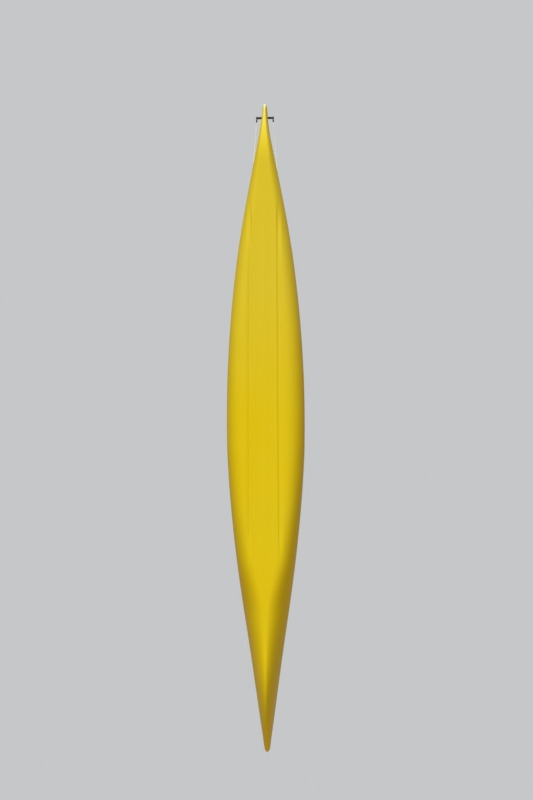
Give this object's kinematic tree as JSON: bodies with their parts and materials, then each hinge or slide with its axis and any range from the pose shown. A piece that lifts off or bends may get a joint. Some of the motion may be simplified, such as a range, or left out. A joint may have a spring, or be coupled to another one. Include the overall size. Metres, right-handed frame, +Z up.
{
  "type": "sit-in touring kayak with stern rudder",
  "caption": "Long narrow moulded sit-in touring kayak with a grooved hull bottom, oval cockpit, fore and aft hatches and a stowed stern rudder.",
  "frame": {"origin": "centre of the overall box, on the floor under the hull", "axes": "+X to the bow, +Y to port, +Z up, with the hull lying on its bottom"},
  "size_m": [5.146, 0.601, 0.402],
  "materials": {
    "hull_plastic": "satin moulded polyethylene, yellow",
    "coaming_plastic": "smooth black plastic",
    "fitting_plastic": "dark moulded plastic",
    "lid_rubber": "black rubber",
    "bulkhead_foam": "grey closed-cell foam",
    "seat_plastic": "dark moulded plastic",
    "seat_fabric": "dark woven cover over foam",
    "rail_metal": "dark anodised",
    "blade_metal": "dark coated plate",
    "cable_steel": "bare twisted wire"
  },
  "bodies": {
    "hull": {"hull_shell": "hull_plastic", "deck_shell": "hull_plastic", "cockpit_coaming": "coaming_plastic", "bow_hatch_rim": "fitting_plastic", "stern_hatch_rim": "fitting_plastic", "bow_bulkhead": "bulkhead_foam", "stern_bulkhead": "bulkhead_foam", "seat_pan": "seat_plastic", "seat_pad": "seat_fabric", "backrest": "seat_fabric", "thigh_brace_port": "seat_plastic", "thigh_brace_starboard": "seat_plastic", "foot_rail_port": "rail_metal", "foot_rail_starboard": "rail_metal", "foot_pedal_port": "fitting_plastic", "foot_pedal_starboard": "fitting_plastic", "bow_handle": "fitting_plastic", "stern_handle": "fitting_plastic", "rudder_bracket": "fitting_plastic", "rudder_rest": "lid_rubber", "cable_guide_port": "fitting_plastic", "cable_guide_starboard": "fitting_plastic", "rudder_cable_port": "cable_steel", "rudder_cable_starboard": "cable_steel"},
    "bow_lid": {"bow_hatch_lid": "lid_rubber"},
    "stern_lid": {"stern_hatch_lid": "lid_rubber"},
    "rudder_head": {"rudder_head": "fitting_plastic"},
    "rudder_blade": {"rudder_blade": "blade_metal"}
  },
  "joints": [
    {"name": "bow_lid_lift", "type": "slide", "parent": "hull", "child": "bow_lid", "axis": [0, 0, 1], "range_m": [0, 0.15]},
    {"name": "stern_lid_lift", "type": "slide", "parent": "hull", "child": "stern_lid", "axis": [0, 0, 1], "range_m": [0, 0.15]},
    {"name": "rudder_steer", "type": "hinge", "parent": "hull", "child": "rudder_head", "pos_m": [-2.437, 0, 0.29], "axis": [0, 0, 1], "range_deg": [-35, 35], "deforming": ["rudder_cable_port", "rudder_cable_starboard"]},
    {"name": "rudder_blade_lift", "type": "hinge", "parent": "rudder_head", "child": "rudder_blade", "pos_m": [-2.555, 0, 0.362], "axis": [0, -1, 0], "range_deg": [0, 270]}
  ]
}
